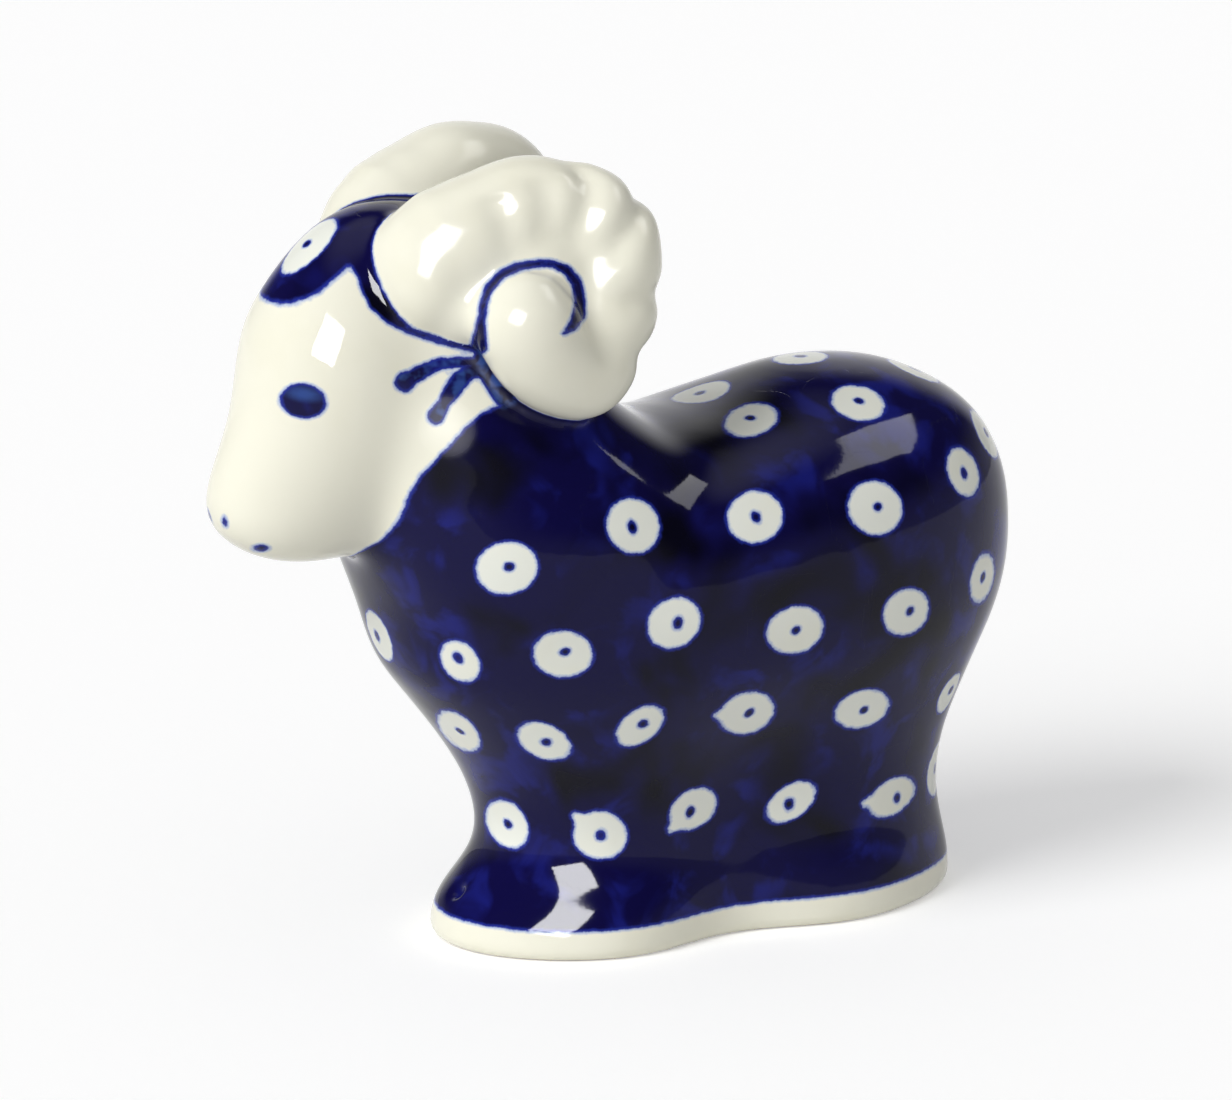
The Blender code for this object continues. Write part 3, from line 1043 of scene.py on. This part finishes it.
def cobalt_colour(n, place, blue):
    """Cobalt with dark and pale clouds, brushed washes, a painted highlight in the eye and a brighter rim."""
    clouds = n.noise(place, 0.065, 2.0, 0.45, 0.4)
    streaks = n.noise(place, 0.14, 3.0, 0.5, 0.5)
    cobalt = n.mix(n.between(clouds, 0.30, 0.48), BLACK_BLUE, DEEP_BLUE)
    patch = n.math("MULTIPLY", n.between(streaks, 0.47, 0.66), n.between(clouds, 0.38, 0.56))
    cobalt = n.mix(n.math("MULTIPLY", patch, 0.65), cobalt, CLOUD_BLUE)
    bristles = n.between(n.noise(place, 0.40, 2.0, 0.5), 0.47, 0.62)
    brushed = n.math("MULTIPLY", n.between(n.attribute("wash", "Fac"), -0.6, 0.6), bristles)
    cobalt = n.mix(n.math("MULTIPLY", brushed, 0.55), cobalt, WASH_BLUE)
    # The eye's painted highlight: paler blue over the upper part of the eye
    painted_eye_highlight = n.math("MULTIPLY", n.between(n.attribute("painted_eye_highlight", "Fac"), -1.0, 0.9), 0.6)
    cobalt = n.mix(painted_eye_highlight, cobalt, WASH_BLUE)
    return n.mix(n.between(blue, 0.05, 0.55), EDGE_BLUE, cobalt)


def cream_colour(n, place):
    is_dot = n.between(n.attribute("white", "Fac"), -0.8, -0.3)
    aged = n.between(n.noise(place, 0.06, 3.0, 0.6), 0.45, 0.75)
    return n.mix(n.math("MULTIPLY", aged, 0.35), n.mix(is_dot, CREAM, DOT_WHITE), AGED_CREAM)


def glaze_colour(n, place, blue):
    halo = n.mix(n.between(blue, -0.45, 0.0), cream_colour(n, place), HALO_BLUE)
    return n.mix(n.between(blue, -0.1, 0.12), halo, cobalt_colour(n, place, blue))


def glaze_roughness(n, orange_peel, bare):
    gloss = n.math("ADD", n.math("MULTIPLY", orange_peel, 0.04), 0.045)
    wash = n.between(n.attribute("wash", "Fac"), -0.6, 0.2)
    horn = n.between(n.attribute("on_horn", "Fac"), 0.5, 3.0)
    for place, more in ((wash, 0.08), (horn, 0.10), (n.attribute("soft", "Fac"), 0.35)):
        gloss = n.math("ADD", gloss, n.math("MULTIPLY", place, more))
    return n.math("MAXIMUM", gloss, n.math("MULTIPLY", bare, 0.8))


def glaze_relief(n, place, blue, orange_peel, grain):
    """Heights in mm of the casting's slow swell, the glaze's skin, the paint under it and the bare clay."""
    swell = n.noise(place, 0.16, 1.0, 0.4)
    relief = n.math("ADD", n.math("MULTIPLY", swell, 0.06), n.math("MULTIPLY", orange_peel, 0.003))
    relief = n.math("ADD", relief, n.math("MULTIPLY", n.between(blue, -0.3, 0.3), 0.02))
    return n.math("ADD", relief, n.math("MULTIPLY", grain, 0.05))


def glaze_material():
    material = bpy.data.materials.new("painted_glaze")
    material.use_nodes = True
    n = Nodes(material.node_tree)
    shader = material.node_tree.nodes["Principled BSDF"]
    place = place_in_mm(n)
    blue = painted_depth(n, place)
    height = n.add("ShaderNodeSeparateXYZ")
    n.feed(height.inputs[0], place)
    bare = n.between(height.outputs["Z"], 0.35, 0.10)
    speckle = n.noise(place, 4.0, 3.0, 0.7)
    clay = n.mix(n.between(speckle, 0.35, 0.7), BISQUE, DARK_BISQUE)
    orange_peel = n.noise(place, 1.6, 2.0, 0.5)
    n.feed(shader.inputs["Base Color"], n.mix(bare, glaze_colour(n, place, blue), clay))
    n.feed(shader.inputs["Roughness"], glaze_roughness(n, orange_peel, bare))
    shader.inputs["IOR"].default_value = 1.5
    shader.inputs["Specular IOR Level"].default_value = 0.16
    bump = n.add("ShaderNodeBump")
    bump.inputs["Strength"].default_value = 1.0
    bump.inputs["Distance"].default_value = MM
    grain = n.math("MULTIPLY", bare, speckle)
    n.feed(bump.inputs["Height"], glaze_relief(n, place, blue, orange_peel, grain))
    n.feed(shader.inputs["Normal"], bump.outputs["Normal"])
    return material


FLOOR_LIFT = 0.36
FLOOR_HALF_SIZE = 8.0
FLOOR_COLOUR = linear(236, 236, 235)


def pale_floor():
    data = bpy.data.meshes.new("floor")
    corners = [(x * FLOOR_HALF_SIZE, y * FLOOR_HALF_SIZE, 0) for x, y in ((-1, -1), (1, -1), (1, 1), (-1, 1))]
    data.from_pydata(corners, [], [(0, 1, 2, 3)])
    floor = bpy.data.objects.new("floor", data)
    bpy.context.scene.collection.objects.link(floor)
    material = bpy.data.materials.new("pale_floor")
    material.use_nodes = True
    n = Nodes(material.node_tree)
    shader = material.node_tree.nodes["Principled BSDF"]
    shader.inputs["Base Color"].default_value = FLOOR_COLOUR
    shader.inputs["Roughness"].default_value = 0.9
    shader.inputs["Specular IOR Level"].default_value = 0.0
    path = n.add("ShaderNodeLightPath")
    seen = n.math("MAXIMUM", path.outputs["Is Camera Ray"], path.outputs["Is Glossy Ray"])
    seen = n.math("MAXIMUM", seen, path.outputs["Is Transmission Ray"])
    shader.inputs["Emission Color"].default_value = (1.0, 1.0, 1.0, 1.0)
    n.feed(shader.inputs["Emission Strength"], n.math("MULTIPLY", seen, FLOOR_LIFT))
    data.materials.append(material)
    return floor


def aim(obj, place, target):
    obj.location = place
    obj.rotation_mode = "QUATERNION"
    obj.rotation_quaternion = (target - place).to_track_quat("-Z", "Y")


def direction(azimuth, elevation):
    a, e = math.radians(azimuth), math.radians(elevation)
    return Vector((math.sin(a) * math.cos(e), -math.cos(a) * math.cos(e), math.sin(e)))


def add_sun(name, azimuth, elevation, spread, strength):
    data = bpy.data.lights.new(name, "SUN")
    data.energy = strength
    data.angle = math.radians(spread)
    sun = bpy.data.objects.new(name, data)
    bpy.context.scene.collection.objects.link(sun)
    aim(sun, direction(azimuth, elevation), Vector((0.0, 0.0, 0.0)))
    sun.visible_glossy = False
    return sun


SOFTBOX_DISTANCE = 1.2
SOFTBOX_TARGET = Vector((0.0, -0.01, 0.06))


def add_softbox(name, azimuth, elevation, roll, width, height, radiance):
    """A bright sheet that shows as a reflection in the glaze and adds no other light."""
    data = bpy.data.lights.new(name, "AREA")
    data.shape = "RECTANGLE"
    data.size = width
    data.size_y = height
    data.energy = radiance * math.pi * width * height
    box = bpy.data.objects.new(name, data)
    bpy.context.scene.collection.objects.link(box)
    aim(box, SOFTBOX_TARGET + direction(azimuth, elevation) * SOFTBOX_DISTANCE, SOFTBOX_TARGET)
    box.rotation_quaternion @= Quaternion((0.0, 0.0, 1.0), math.radians(roll))
    box.visible_diffuse = False
    box.visible_camera = False
    return box


# Where the pale backdrop stands behind the ram, as azimuth and elevation in degrees
BACKDROP = (238, 12)
BACKDROP_LIGHT = (1.0, 1.0, 1.0, 1.0)
LOW_LIGHT = (0.42, 0.42, 0.42, 1.0)
DIM_LIGHT = (0.06, 0.06, 0.07, 1.0)
OVERHEAD_LIGHT = (1.2, 1.2, 1.2, 1.0)
FILL_LIGHT = (0.34, 0.34, 0.35, 1.0)


def surroundings():
    """A studio that the glaze mirrors as pale low down, overhead and behind, and dim elsewhere."""
    world = bpy.data.worlds.new("studio")
    bpy.context.scene.world = world
    world.use_nodes = True
    n = Nodes(world.node_tree)
    background = world.node_tree.nodes["Background"]
    outward = n.add("ShaderNodeTexCoord").outputs["Generated"]
    height = n.add("ShaderNodeSeparateXYZ")
    n.feed(height.inputs[0], outward)
    behind = n.add("ShaderNodeVectorMath", operation="DOT_PRODUCT")
    n.feed(behind.inputs[0], outward)
    behind.inputs[1].default_value = direction(*BACKDROP)
    mirrored = n.mix(n.between(height.outputs["Z"], 0.02, 0.35), LOW_LIGHT, DIM_LIGHT)
    mirrored = n.mix(n.between(height.outputs["Z"], 0.80, 0.98), mirrored, OVERHEAD_LIGHT)
    mirrored = n.mix(n.between(behind.outputs["Value"], 0.76, 0.95), mirrored, BACKDROP_LIGHT)
    is_diffuse = n.add("ShaderNodeLightPath").outputs["Is Diffuse Ray"]
    n.feed(background.inputs["Color"], n.mix(is_diffuse, mirrored, FILL_LIGHT))
    background.inputs["Strength"].default_value = 1.0


def add_camera():
    data = bpy.data.cameras.new("camera")
    data.sensor_width = SENSOR_WIDTH
    data.lens = FOCAL_PIXELS / FRAME_WIDTH * SENSOR_WIDTH
    data.clip_start = 0.05
    data.clip_end = 50.0
    camera = bpy.data.objects.new("camera", data)
    bpy.context.scene.collection.objects.link(camera)
    azimuth, elevation = math.degrees(CAMERA_AZIMUTH), math.degrees(CAMERA_ELEVATION)
    aim(camera, (CAMERA_TARGET + direction(azimuth, elevation) * CAMERA_DISTANCE) * MM, CAMERA_TARGET * MM)
    bpy.context.scene.camera = camera


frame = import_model()
ram = build_ram()
ram.data.materials.append(glaze_material())
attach(ram, "root")
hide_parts("ram_figurine")
pale_floor()
surroundings()
add_sun("key", 14, 37, 30, 1.98)
add_sun("low_fill", 46, 3, 40, 0.42)
add_softbox("near_softbox", 52, 25, -22, 0.58, 0.66, 48.0)
add_softbox("side_softbox", 160, 46, 37, 0.60, 0.38, 6.8)
add_camera()
bpy.context.scene.view_settings.view_transform = "Standard"
